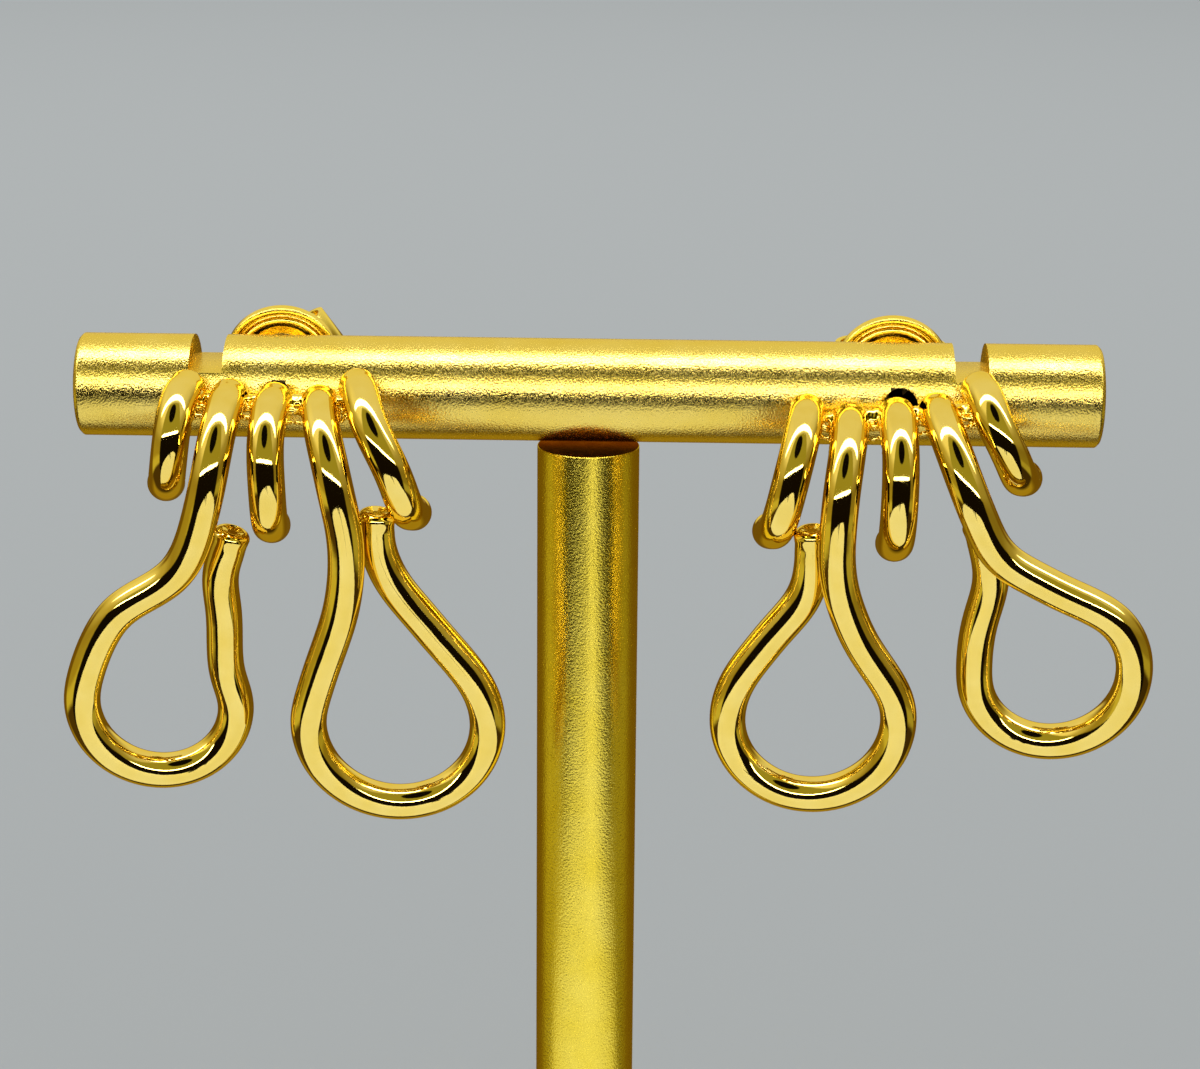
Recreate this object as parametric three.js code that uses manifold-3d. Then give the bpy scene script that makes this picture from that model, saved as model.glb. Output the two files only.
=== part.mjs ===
// A pair of gold hoop earrings, each bent from five wires, on a matt gold T-bar stand.
// Millimetres. +X runs to the right along the crossbar, +Y to the back, +Z up.
// The origin is the middle of the underside of the stand's foot.

import * as THREE from 'three';
import { mergeVertices } from 'three/addons/utils/BufferGeometryUtils.js';
import Module from 'manifold-3d';

const wasm = await Module();
wasm.setup();

// Driving dimensions of the stand

const rod_diameter = 6.0;
const bar_length = 59.4;
const bar_height = 69.0;
const bar_chamfer = 0.22;
const hole_diameter = 2.0;
const hole_x = 17.95;
const notch_width = 1.95;
const notch_floor = 1.36;
const notch_places = [-22.05, 22.05];
const foot_diameter = 50.0;
const foot_height = 5.0;
const foot_chamfer = 0.5;
const tenon_diameter = 3.6;
const tenon_length = 2.8;
const stud_diameter = 2.6;
const stud_length = 1.9;

// Clearance between pieces that meet, and the play left round a tenon or a stud
const seat_gap = 0.3;
const fit_gap = 0.3;

// Driving dimensions of the earrings

const wire_diameter = 2.1;
const bridge_diameter = 1.55;
const post_diameter = 0.84;
const post_length = 11.6;
const collar_diameter = 1.7;
const collar_length = 0.9;
const cut_round = 0.28;
const solder_tolerance = 0.008;

// Every wire starts behind its top bend, runs forward and is rolled over a round former.
// root_y is the cut end's distance in front of the bar's axis, roll_y that of the former's axis.
const root_y = 3.66;
const roll_y = 4.44;
const long_wire_roll = 4.3;
const long_wire_lean = 7;
const short_wire_end = -108;

// A loop leaves its stem's plane along its lower arc, so that its free end rises behind the stem.
// These are the shares of the arc where that starts and ends, and how far a point sinks meanwhile.
const loop_turn_start = 0.15;
const loop_turn_end = 0.8;
const loop_sink = 0.47;

// Driving dimensions of the clutches

const disc_diameter = 6.9;
const disc_thickness = 0.75;
const disc_bore = 1.6;
const disc_seat = 0.25;
const disc_gap = 0.16;
const strip_width = 2.1;
const strip_thickness = 0.3;
const scroll_gap = 0.14;
const scroll_centre = 1.9;
const scroll_radius = 1.38;
const scroll_end_radius = 0.55;
const scroll_sweep = 520;

// Fineness of the curved faces
const wire_sides = 12;
const wire_step = 1.0;
const round_sides = 40;

// Short wires of an earring: a C rolled round the former, ending under the bar.
// top is the height of its highest centre line over the bar's axis, roll the radius of the C,
// and outline gives [across, along] on the flat wire before it was rolled.
const left_short_wires = [
  { top: 0.80, roll: 2.72, outline: [[-4.85, 0], [-5.25, 3.0], [-5.5, 5.2], [-6.2, 9.1]] },
  { top: 0.14, roll: 3.60, outline: [[0.1, 0], [-0.05, 4.0], [0.05, 7.5], [-0.15, 12.0]] },
  { top: 1.00, roll: 3.60, outline: [[4.75, 0], [5.7, 3.8], [7.3, 7.2], [8.1, 12.0]] },
];
const right_short_wires = [
  { top: 1.30, roll: 2.52, outline: [[4.3, 0], [4.85, 3.1], [6.15, 5.8], [7.15, 8.9]] },
  { top: -0.26, roll: 3.70, outline: [[-0.3, 0], [-0.25, 4.5], [-0.28, 8.0], [-0.25, 12.3]] },
  { top: -0.15, roll: 3.44, outline: [[-5.35, 0], [-5.75, 3.0], [-6.65, 7.0], [-7.4, 11.6]] },
];

// Long wires: a stem that ends in a pear-shaped loop, with the free end rising behind the stem.
// stem and tail give [across, along], loop its centre, radius, and the angles where the stem
// comes in and the tail leaves (0 to the right, 90 down). behind and aside offset the tail.
const left_long_wires = [
  {
    top: 0.32,
    stem: [[-2.45, 0], [-2.7, 4.0], [-3.4, 8.1], [-5.1, 12.5], [-8.9, 15.3]],
    loop: { across: -6.65, along: 20.87, radius: 4.5, from: 204, to: -28 },
    tail: [[-2.63, 15.07], [-2.78, 12.64], [-2.2, 10.85], [-1.87, 9.81]],
    behind: 2.0,
    aside: -0.28,
  },
  {
    top: 0.02,
    stem: [[2.6, 0], [3.0, 3.0], [3.95, 6.9], [4.5, 10.4], [4.2, 14.1]],
    loop: { across: 7.2, along: 21.65, radius: 5.25, from: 208, to: -24 },
    tail: [[9.05, 15.37], [6.9, 12.39], [6.17, 10.1], [6.27, 8.2]],
    behind: 1.7,
    aside: -0.12,
  },
];
const right_long_wires = [
  {
    top: 0.02,
    stem: [[1.95, 0], [2.45, 3.65], [4.15, 8.25], [5.45, 10.6], [8.35, 12.4]],
    loop: { across: 8.95, along: 17.7, radius: 4.6, from: -44, to: 188 },
    tail: [[4.53, 14.87], [5.1, 11.96], [4.72, 9.92], [4.17, 8.22]],
    behind: 2.3,
    aside: 0.23,
  },
  {
    top: -0.64,
    stem: [[-2.9, 0], [-3.15, 3.2], [-3.65, 7.2], [-3.6, 11.3], [-2.4, 14.9]],
    loop: { across: -4.75, along: 20.3, radius: 4.98, from: -12, to: 202 },
    tail: [[-7.43, 15.27], [-5.42, 12.45], [-5.03, 10.31], [-5.14, 8.21]],
    behind: 1.9,
    aside: 0.085,
  },
];

// The bridge runs behind the five tops. Its ends are [across, height] and lie inside the outer
// wires. The ear post crosses the bar's front and back faces at [across, height]. A clutch disc
// hangs off the post by its shift, and the scroll's wings are turned by wing_angle.
const earrings = {
  left: {
    side: -1,
    short: left_short_wires,
    long: left_long_wires,
    bridge: [[-4.9, 0.32], [4.8, 0.36]],
    post: [[0.1, -0.42], [-0.2, 0.4]],
    disc_shift: [-0.15, 0.2],
    wing_angle: 32,
  },
  right: {
    side: 1,
    short: right_short_wires,
    long: right_long_wires,
    bridge: [[-5.35, -0.38], [4.35, 0.4]],
    post: [[-0.12, -0.42], [-0.05, 0.4]],
    disc_shift: [0, 0.02],
    wing_angle: 0,
  },
};

const polished_gold = new THREE.MeshStandardMaterial({
  name: 'polished_gold', color: 0xe6c65a, roughness: 0.08, metalness: 1.0,
});
const matt_gold = new THREE.MeshStandardMaterial({
  name: 'matt_gold', color: 0xc9b25c, roughness: 0.45, metalness: 0.9,
});

const radians = THREE.MathUtils.degToRad;

// Closed solids and booleans

function to_solid(geometry) {
  const bare = geometry.clone();
  bare.deleteAttribute('normal');
  bare.deleteAttribute('uv');
  const merged = mergeVertices(bare, 1e-5);
  return new wasm.Manifold(new wasm.Mesh({
    numProp: 3,
    vertProperties: new Float32Array(merged.attributes.position.array),
    triVerts: new Uint32Array(merged.index.array),
  }));
}

function to_geometry(solid) {
  const mesh = solid.getMesh();
  const geometry = new THREE.BufferGeometry();
  geometry.setAttribute('position', new THREE.BufferAttribute(mesh.vertProperties, 3));
  geometry.setIndex(new THREE.BufferAttribute(mesh.triVerts, 1));
  geometry.computeVertexNormals();
  return geometry;
}

// Turned solids: a profile of [radius, height] pairs, from the axis to the axis, about +Z
function turned(profile, sides = round_sides) {
  const points = profile.map(([radius, height]) => new THREE.Vector2(radius, height));
  return new THREE.LatheGeometry(points, sides).rotateX(Math.PI / 2);
}

function cylinder(diameter, length, sides = round_sides) {
  return new THREE.CylinderGeometry(diameter / 2, diameter / 2, length, sides);
}

// Stand

function foot_geometry() {
  const radius = foot_diameter / 2;
  const socket = tenon_diameter / 2 + fit_gap;
  const socket_floor = foot_height - tenon_length - fit_gap;
  return turned([
    [0, 0],
    [radius - foot_chamfer, 0],
    [radius, foot_chamfer],
    [radius, foot_height - foot_chamfer],
    [radius - foot_chamfer, foot_height],
    [socket, foot_height],
    [socket, socket_floor],
    [0, socket_floor],
  ], 56);
}

function upright_geometry() {
  const radius = rod_diameter / 2;
  const bottom = foot_height + seat_gap;
  const top = bar_height - rod_diameter / 2 - seat_gap;
  return turned([
    [0, bottom - tenon_length],
    [tenon_diameter / 2, bottom - tenon_length],
    [tenon_diameter / 2, bottom],
    [radius, bottom],
    [radius, top],
    [stud_diameter / 2, top],
    [stud_diameter / 2, top + stud_length],
    [0, top + stud_length],
  ]);
}

function bar_geometry() {
  const radius = rod_diameter / 2;
  const half = bar_length / 2;
  const rod = turned([
    [0, -half],
    [radius - bar_chamfer, -half],
    [radius, -half + bar_chamfer],
    [radius, half - bar_chamfer],
    [radius - bar_chamfer, half],
    [0, half],
  ]).rotateY(Math.PI / 2);
  let bar = to_solid(rod);
  const notch_depth = radius - notch_floor;
  for (const x of notch_places) {
    const notch = new THREE.BoxGeometry(notch_width, 2 * rod_diameter, 2 * notch_depth);
    notch.translate(x, 0, notch_floor + notch_depth);
    bar = bar.subtract(to_solid(notch));
  }
  for (const side of [-1, 1]) {
    const hole = cylinder(hole_diameter, 2 * rod_diameter, 28);
    hole.translate(side * hole_x, 0, 0);
    bar = bar.subtract(to_solid(hole));
  }
  const bore_depth = stud_length + fit_gap;
  const bore = cylinder(stud_diameter + 2 * fit_gap, 2 * bore_depth, 28);
  bore.rotateX(Math.PI / 2);
  bore.translate(0, 0, -radius);
  return to_geometry(bar.subtract(to_solid(bore)));
}

// Wires: an outline on the flat sheet (across, along, behind) is rolled over the former

class RolledWire extends THREE.Curve {
  constructor(outline, top, roll, last_angle) {
    super();
    this.outline = new THREE.CatmullRomCurve3(outline, false, 'centripetal');
    this.top = top;
    this.roll = roll;
    this.last_angle = radians(last_angle);
  }

  getPoint(t, target = new THREE.Vector3()) {
    const { x: across, y: along, z: behind } = this.outline.getPoint(t);
    const lead = roll_y - root_y;
    const bent = Math.max(along - lead, 0) / this.roll;
    const angle = Math.max(Math.PI / 2 - bent, this.last_angle);
    const straight = Math.max(bent * this.roll - (Math.PI / 2 - angle) * this.roll, 0);
    const forward = Math.min(along, lead) + root_y + (this.roll - behind) * Math.cos(angle)
      + straight * Math.sin(angle);
    const height = this.top - this.roll + (this.roll - behind) * Math.sin(angle)
      - straight * Math.cos(angle);
    return target.set(across, -forward, height);
  }
}

function circle_shape(radius, sides) {
  const points = [];
  for (let i = 0; i < sides; i += 1) {
    const angle = 2 * Math.PI * (i + 0.5) / sides;
    points.push(new THREE.Vector2(radius * Math.cos(angle), radius * Math.sin(angle)));
  }
  return new THREE.Shape(points);
}

function tube(curve, diameter, sides = wire_sides, step = wire_step) {
  return new THREE.ExtrudeGeometry(circle_shape(diameter / 2, sides), {
    extrudePath: curve,
    steps: Math.max(Math.round(curve.getLength() / step), 2),
    bevelEnabled: false,
  });
}

// The rounded rim of a cut end: a shallow turned button laid on the end face
function rounded_end(curve, diameter) {
  const radius = diameter / 2;
  const button = turned([
    [0, -cut_round],
    [radius * 0.85, -cut_round],
    [radius * 0.85, cut_round * 0.3],
    [radius * 0.65, cut_round * 0.7],
    [0, cut_round * 0.7],
  ], wire_sides);
  const direction = curve.getTangent(1);
  button.applyQuaternion(new THREE.Quaternion().setFromUnitVectors(
    new THREE.Vector3(0, 0, 1), direction));
  const end = curve.getPoint(1);
  return button.translate(end.x, end.y, end.z);
}

function short_wire({ top, roll, outline }) {
  const points = outline.map(([across, along]) => new THREE.Vector3(across, along, 0));
  return new RolledWire(points, top, roll, short_wire_end);
}

function long_wire({ top, stem, loop, tail, behind, aside }) {
  const points = stem.map(([across, along]) => new THREE.Vector3(across, along, 0));
  const turns = Math.round(Math.abs(loop.to - loop.from) / 30);
  for (let i = 0; i <= turns; i += 1) {
    const angle = radians(THREE.MathUtils.lerp(loop.from, loop.to, i / turns));
    const share = THREE.MathUtils.smoothstep(i / turns, loop_turn_start, loop_turn_end);
    points.push(new THREE.Vector3(
      loop.across + loop.radius * Math.cos(angle) + aside * share,
      loop.along + loop.radius * Math.sin(angle) + loop_sink * behind * share,
      behind * share,
    ));
  }
  points.push(...tail.map(([across, along]) => (
    new THREE.Vector3(across + aside, along + loop_sink * behind, behind))));
  return new RolledWire(points, top, long_wire_roll, -long_wire_lean);
}

// The ear post's line, from the bridge to the back

function post_line({ post }) {
  const [[front_x, front_z], [back_x, back_z]] = post;
  const front = new THREE.Vector3(front_x, -rod_diameter / 2, front_z);
  const back = new THREE.Vector3(back_x, rod_diameter / 2, back_z);
  const direction = back.clone().sub(front).normalize();
  const root = front.clone().addScaledVector(direction, -(roll_y - rod_diameter / 2));
  return { root, direction };
}

function along_post(geometry, { root, direction }) {
  geometry.applyQuaternion(new THREE.Quaternion().setFromUnitVectors(
    new THREE.Vector3(0, 0, 1), direction));
  return geometry.translate(root.x, root.y, root.z);
}

function post_geometry(line) {
  const radius = post_diameter / 2;
  return along_post(turned([
    [0, 0],
    [collar_diameter / 2, 0],
    [collar_diameter / 2 - 0.1, collar_length * 0.5],
    [radius, collar_length],
    [radius, post_length - radius],
    [radius * 0.7, post_length - radius * 0.3],
    [0, post_length],
  ], 16), line);
}

function bridge_geometry({ bridge }) {
  const [start, end] = bridge.map(([x, z]) => new THREE.Vector3(x, -roll_y, z));
  return tube(new THREE.LineCurve3(start, end), bridge_diameter);
}

// All five wires, the bridge and the post are soldered to one another
function earring_geometry(earring) {
  const curves = [...earring.short.map(short_wire), ...earring.long.map(long_wire)];
  const pieces = curves.flatMap((curve) => [
    tube(curve, wire_diameter),
    rounded_end(curve, wire_diameter),
  ]);
  pieces.push(bridge_geometry(earring), post_geometry(post_line(earring)));
  const whole = pieces.map(to_solid).reduce((sum, solid) => sum.add(solid));
  return to_geometry(whole.simplify(solder_tolerance));
}

// Clutches, built about +Z, which then points back along the ear post

function disc_geometry() {
  const radius = disc_diameter / 2;
  const bore = disc_bore / 2;
  // The front face has a raised rim, a groove, a ridge, a shallow dish and a boss
  return turned([
    [bore, disc_thickness],
    [bore, 0.12],
    [1.5, 0.12],
    [1.7, 0.36],
    [2.3, 0.32],
    [2.45, 0.14],
    [2.7, 0.14],
    [2.85, 0.36],
    [2.98, 0.36],
    [3.08, 0],
    [radius - 0.1, 0],
    [radius, 0.12],
    [radius, disc_thickness],
    [bore, disc_thickness],
  ], 36);
}

// One arm of the strip: flat on the disc, then a roll that shrinks as it curls in
function arm_point(t) {
  const flat = scroll_centre / (scroll_centre + radians(scroll_sweep) * scroll_radius * 0.8);
  if (t < flat) {
    return { p: scroll_centre * t / flat, s: 0, nx: 0, ny: -1 };
  }
  const u = (t - flat) / (1 - flat);
  const angle = radians(-90 + scroll_sweep * u);
  const radius = THREE.MathUtils.lerp(scroll_radius, scroll_end_radius, u ** 1.15);
  return {
    p: scroll_centre + radius * Math.cos(angle),
    s: scroll_radius + radius * Math.sin(angle),
    nx: Math.cos(angle),
    ny: Math.sin(angle),
  };
}

function scroll_geometry() {
  const steps = 34;
  const half = strip_thickness / 2;
  const outer = [];
  const inner = [];
  for (let i = 0; i <= steps; i += 1) {
    const { p, s, nx, ny } = arm_point(i / steps);
    outer.push(new THREE.Vector2(p + nx * half, s + ny * half + half));
    inner.push(new THREE.Vector2(p - nx * half, s - ny * half + half));
  }
  const arm = [...outer, ...inner.reverse()];
  const mirrored = arm.map(({ x, y }) => new THREE.Vector2(-x, y));
  // Both arms start at the middle, so the shared start points are dropped from the outline
  const outline = [...arm.slice(1, -1), ...mirrored.reverse().slice(1, -1)];
  const strip = new THREE.ExtrudeGeometry(new THREE.Shape(outline), {
    depth: strip_width, bevelEnabled: false,
  });
  strip.translate(0, 0, -strip_width / 2);
  strip.rotateX(Math.PI / 2);
  const bore = cylinder(post_diameter + 2 * scroll_gap, 20, 20).rotateX(Math.PI / 2);
  return to_geometry(to_solid(strip).subtract(to_solid(bore)));
}

// Assembly

function piece(name, geometry, material) {
  const mesh = new THREE.Mesh(geometry, material);
  mesh.name = name;
  return mesh;
}

function clutch(side_name, earring) {
  const { root, direction } = post_line(earring);
  const group = new THREE.Group();
  const reach = rod_diameter / 2 + disc_seat - root.dot(direction);
  group.position.copy(root).addScaledVector(direction, reach);
  group.quaternion.setFromUnitVectors(new THREE.Vector3(0, 0, 1), direction);
  const disc = piece(`${side_name}_clutch_disc`, disc_geometry(), polished_gold);
  const [shift_x, shift_z] = earring.disc_shift;
  disc.position.set(shift_x, -shift_z, 0);
  const scroll = piece(`${side_name}_clutch_scroll`, scroll_geometry(), polished_gold);
  scroll.position.z = disc_thickness + disc_gap;
  scroll.rotation.z = radians(-earring.wing_angle);
  group.add(disc, scroll);
  return group;
}

const group = new THREE.Group();
group.add(piece('stand_base', foot_geometry(), matt_gold));
group.add(piece('stand_upright', upright_geometry(), matt_gold));

const bar = piece('stand_crossbar', bar_geometry(), matt_gold);
bar.position.z = bar_height;
group.add(bar);

for (const [side_name, earring] of Object.entries(earrings)) {
  const hanging = new THREE.Group();
  hanging.position.set(earring.side * hole_x, 0, bar_height);
  hanging.add(piece(`${side_name}_earring`, earring_geometry(earring), polished_gold));
  hanging.add(clutch(side_name, earring));
  group.add(hanging);
}

export default group;
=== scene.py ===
# %% [markdown]
# # A pair of hoop earrings on a T-bar stand
# Each earring is five gold wires, rolled into curls and pear-shaped loops and soldered side by
# side. An ear post runs from the solder through a hole in the stand's bar and is held behind it
# by a pressed disc and a small butterfly clutch. This lesson builds every metal piece finely
# around the fixed frame of solids, then gives polished gold and blasted gold their own finish.
# The frame comes first: it says where each solid lies, in metres.

# %% Load the frame
import math
import random

import bmesh
import bpy
import numpy as np
from mathutils import Matrix, Vector, noise


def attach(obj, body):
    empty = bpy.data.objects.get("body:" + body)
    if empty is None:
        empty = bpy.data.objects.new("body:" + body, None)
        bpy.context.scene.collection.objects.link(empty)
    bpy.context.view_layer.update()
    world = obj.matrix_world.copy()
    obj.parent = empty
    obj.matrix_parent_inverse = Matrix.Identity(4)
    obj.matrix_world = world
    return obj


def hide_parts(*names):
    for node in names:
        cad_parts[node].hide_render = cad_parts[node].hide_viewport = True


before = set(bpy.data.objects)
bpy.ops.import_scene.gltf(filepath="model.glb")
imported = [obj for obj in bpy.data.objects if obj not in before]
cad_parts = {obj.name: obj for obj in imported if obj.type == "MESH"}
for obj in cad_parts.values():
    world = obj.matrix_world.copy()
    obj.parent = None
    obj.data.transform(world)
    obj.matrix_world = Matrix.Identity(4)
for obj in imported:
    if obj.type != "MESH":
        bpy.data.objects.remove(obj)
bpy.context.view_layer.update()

# %% [markdown]
# ## Sizes
# A maker would write these on the drawing. They are the same numbers as the solids have, in
# millimetres, and one factor turns them into Blender's metres at the very end of each mesh.

# %% Sizes of the stand
MM = 0.001
ROD = 6.0
BAR_LENGTH = 59.4
BAR_HEIGHT = 69.0
BAR_EDGE = 0.22
HOLE = 2.0
HOLE_X = 17.95
NOTCH_WIDTH = 1.95
NOTCH_FLOOR = 1.36
NOTCH_X = 22.05
FOOT = 50.0
FOOT_HEIGHT = 5.0
FOOT_EDGE = 0.5
JOINT_LINE = 0.05
SEAT = 0.3
WORN = 0.07
print("bar", ROD, "by", BAR_LENGTH, "at height", BAR_HEIGHT)

# %% Sizes of an earring and its clutch
WIRE = 2.1
BRIDGE_SEEN = 1.0
BRIDGE_DROP = 0.35
POST = 0.84
POST_LENGTH = 11.6
COLLAR = 1.7
COLLAR_LENGTH = 0.9
ROOT_Y = 3.66
FORMER_Y = 4.44
LOOP_FORMER = 4.3
LOOP_LEAN = math.radians(7)
LOOP_TURN = (0.15, 0.8)
LOOP_SINK = 0.47
CURL_END = math.radians(-108)
CUT_EDGE = 0.42
CUT_DISH = 0.14
DISC = 6.9
DISC_THICK = 0.75
DISC_BORE = 1.6
DISC_SEAT = 0.25
DISC_GAP = 0.16
STRIP_WIDTH = 2.1
STRIP_THICK = 0.3
STRIP_BORE = 1.12
print("wire", WIRE, "post", POST, "disc", DISC)

# %% [markdown]
# ## The bent wires as tables
# A curl is a C: `top` is the height of its highest centre line over the bar's axis, `roll` the
# radius of the former, and `outline` the wire's course on the flat sheet before rolling, as
# (across, along). A loop wire has a stem, a true circle and a tail, and along the lower arc it
# moves `behind` the stem's plane and a little `aside`. The two earrings were bent by hand, so no
# number is shared.

# %% Courses of the wires
def curl(top, roll, *outline):
    return dict(top=top, roll=roll, outline=outline)


LEFT_WIRES = {
    "curl_outer": curl(0.80, 2.72, (-4.85, 0), (-5.25, 3.0), (-5.5, 5.2), (-6.2, 9.1)),
    "curl_middle": curl(0.14, 3.60, (0.1, 0), (-0.05, 4.0), (0.05, 7.5), (-0.15, 12.0)),
    "curl_inner": curl(1.00, 3.60, (4.75, 0), (5.7, 3.8), (7.3, 7.2), (8.1, 12.0)),
    "loop_small": dict(
        top=0.32,
        stem=[(-2.45, 0), (-2.7, 4.0), (-3.4, 8.1), (-5.1, 12.5), (-8.9, 15.3)],
        loop=(-6.65, 20.87, 4.5, 204, -28),
        tail=[(-2.63, 15.07), (-2.78, 12.64), (-2.2, 10.85), (-1.87, 9.81)],
        behind=2.0,
        aside=-0.28,
    ),
    "loop_large": dict(
        top=0.02,
        stem=[(2.6, 0), (3.0, 3.0), (3.95, 6.9), (4.5, 10.4), (4.2, 14.1)],
        loop=(7.2, 21.65, 5.25, 208, -24),
        tail=[(9.05, 15.37), (6.9, 12.39), (6.17, 10.1), (6.27, 8.2)],
        behind=1.7,
        aside=-0.12,
    ),
}
RIGHT_WIRES = {
    "curl_outer": curl(1.30, 2.52, (4.3, 0), (4.85, 3.1), (6.15, 5.8), (7.15, 8.9)),
    "curl_middle": curl(-0.26, 3.70, (-0.3, 0), (-0.25, 4.5), (-0.28, 8.0), (-0.25, 12.3)),
    "curl_inner": curl(-0.15, 3.44, (-5.35, 0), (-5.75, 3.0), (-6.65, 7.0), (-7.4, 11.6)),
    "loop_small": dict(
        top=0.02,
        stem=[(1.95, 0), (2.45, 3.65), (4.15, 8.25), (5.45, 10.6), (8.35, 12.4)],
        loop=(8.95, 17.7, 4.6, -44, 188),
        tail=[(4.53, 14.87), (5.1, 11.96), (4.72, 9.92), (4.17, 8.22)],
        behind=2.3,
        aside=0.23,
    ),
    "loop_large": dict(
        top=-0.64,
        stem=[(-2.9, 0), (-3.15, 3.2), (-3.65, 7.2), (-3.6, 11.3), (-2.4, 14.9)],
        loop=(-4.75, 20.3, 4.98, -12, 202),
        tail=[(-7.43, 15.27), (-5.42, 12.45), (-5.03, 10.31), (-5.14, 8.21)],
        behind=1.9,
        aside=0.085,
    ),
}
EARRINGS = {
    "left": dict(
        side=-1, wires=LEFT_WIRES, bridge=((-4.9, 0.32), (4.8, 0.36)),
        post=((0.1, -0.42), (-0.2, 0.4)), disc_shift=(-0.15, 0.2), wing_angle=32,
    ),
    "right": dict(
        side=1, wires=RIGHT_WIRES, bridge=((-5.35, -0.38), (4.35, 0.4)),
        post=((-0.12, -0.42), (-0.05, 0.4)), disc_shift=(0.0, 0.02), wing_angle=0,
    ),
}
print({name: list(data["wires"]) for name, data in EARRINGS.items()})

# %% [markdown]
# ## The camera
# The photograph looks slightly down on the bar, from a little right of its middle. The camera is
# made first, so that every later piece can be judged through it. Its place came from the bar's
# silhouette lines, its ends and its hole, whose sizes are known.

# %% Camera
CAMERA_AT = Vector((4.052, -165.745, 108.944))
CAMERA_YAW, CAMERA_PITCH, CAMERA_ROLL = (math.radians(a) for a in (-1.151, 16.382, 0.463))
LENS = 87.495


def camera_axes(yaw, pitch, roll):
    """Right, up and backward axes of a camera that looks along yaw, down by pitch."""
    ahead = Vector((math.sin(yaw) * math.cos(pitch), math.cos(yaw) * math.cos(pitch),
                    -math.sin(pitch)))
    level = Vector((math.cos(yaw), -math.sin(yaw), 0))
    above = level.cross(ahead)
    right = math.cos(roll) * level + math.sin(roll) * above
    up = math.cos(roll) * above - math.sin(roll) * level
    return right, up, -ahead


camera_data = bpy.data.cameras.new("camera")
camera_data.lens = LENS
camera_data.sensor_width = 36.0
camera_data.sensor_fit = "HORIZONTAL"
camera_data.clip_start = 0.01
camera = bpy.data.objects.new("camera", camera_data)
bpy.context.scene.collection.objects.link(camera)
turn = Matrix(camera_axes(CAMERA_YAW, CAMERA_PITCH, CAMERA_ROLL)).transposed().to_4x4()
camera.matrix_world = Matrix.Translation(CAMERA_AT * MM) @ turn
bpy.context.scene.camera = camera
print("camera at", tuple(round(v, 1) for v in CAMERA_AT), "mm")

# %% [markdown]
# ## Helpers for meshes
# Turned pieces, such as the rod, the foot and the disc, come from a profile that is spun about an
# axis. A hard corner never looks real in polished metal, so the profile's corners are eased into
# short arcs before they are spun. Points on the axis become one closed pole.

# %% Making objects and easing corners
EDGE_SHARE = 0.45


def add_object(name, data):
    """A new object at the origin, linked to the scene."""
    made = bpy.data.objects.new(name, data)
    bpy.context.scene.collection.objects.link(made)
    return made


def finished(built, name):
    """The built faces as a new mesh."""
    mesh = bpy.data.meshes.new(name)
    built.to_mesh(mesh)
    built.free()
    return mesh


def eased(profile, radius, steps=5):
    """The profile with each inner corner replaced by a short arc, on less than half an edge."""
    points = [Vector(p) for p in profile]
    out = [points[0]]
    for before, corner, after in zip(points, points[1:], points[2:]):
        back, on = before - corner, after - corner
        reach = min(radius, EDGE_SHARE * back.length, EDGE_SHARE * on.length)
        start, end = corner + back.normalized() * reach, corner + on.normalized() * reach
        for i in range(steps + 1):
            t = i / steps
            out.append(start.lerp(corner, t).lerp(corner.lerp(end, t), t))
    out.append(points[-1])
    return [tuple(p) for p in out]


def in_metres(profile):
    return [(radius * MM, height * MM) for radius, height in profile]


print("a corner becomes", len(eased([(0, 0), (1, 0), (1, 1)], WORN)) - 2, "points")

# %% Spinning a profile
def turned_mesh(name, profile, sides, closed=False):
    """(radius, height) pairs in millimetres, spun about Z; a closed profile has no poles."""
    built = bmesh.new()
    rings = []
    for radius, height in profile:
        if radius < 1e-6:
            rings.append([built.verts.new((0, 0, height))])
            continue
        angles = [2 * math.pi * i / sides for i in range(sides)]
        rings.append([built.verts.new((radius * math.cos(a), radius * math.sin(a), height))
                      for a in angles])
    pairs = list(zip(rings, rings[1:]))
    if closed:
        pairs.append((rings[-1], rings[0]))
    for low, high in pairs:
        for i in range(sides):
            j = (i + 1) % sides
            if len(low) == 1:
                built.faces.new((low[0], high[j], high[i]))
            elif len(high) == 1:
                built.faces.new((low[i], low[j], high[0]))
            else:
                built.faces.new((low[i], low[j], high[j], high[i]))
    bmesh.ops.recalc_face_normals(built, faces=built.faces)
    mesh = finished(built, name)
    mesh.shade_smooth()
    return mesh


def drill_mesh(diameter, low, high, sides):
    half = diameter / 2
    return turned_mesh("drill", [(0, low), (half, low), (half, high), (0, high)], sides)


# %% Baking modifiers
def applied(piece):
    """The piece with its modifiers turned into a plain mesh."""
    view = bpy.context.evaluated_depsgraph_get()
    mesh = bpy.data.meshes.new_from_object(piece.evaluated_get(view))
    piece.modifiers.clear()
    old = piece.data
    piece.data = mesh
    bpy.data.meshes.remove(old)
    return piece


def cut_and_eased(piece, cutters, width, sharp):
    """The piece less its cutters' shapes, with its hard edges bevelled."""
    for cutter in cutters:
        cut = piece.modifiers.new("cut", "BOOLEAN")
        cut.operation, cut.solver, cut.object = "DIFFERENCE", "EXACT", cutter
    bevel = piece.modifiers.new("worn_edges", "BEVEL")
    bevel.width, bevel.segments, bevel.limit_method = width, 2, "ANGLE"
    bevel.angle_limit = math.radians(50)
    applied(piece)
    for cutter in cutters:
        bpy.data.objects.remove(cutter)
    piece.data.shade_smooth()
    piece.data.set_sharp_from_angle(angle=math.radians(sharp))


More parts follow.
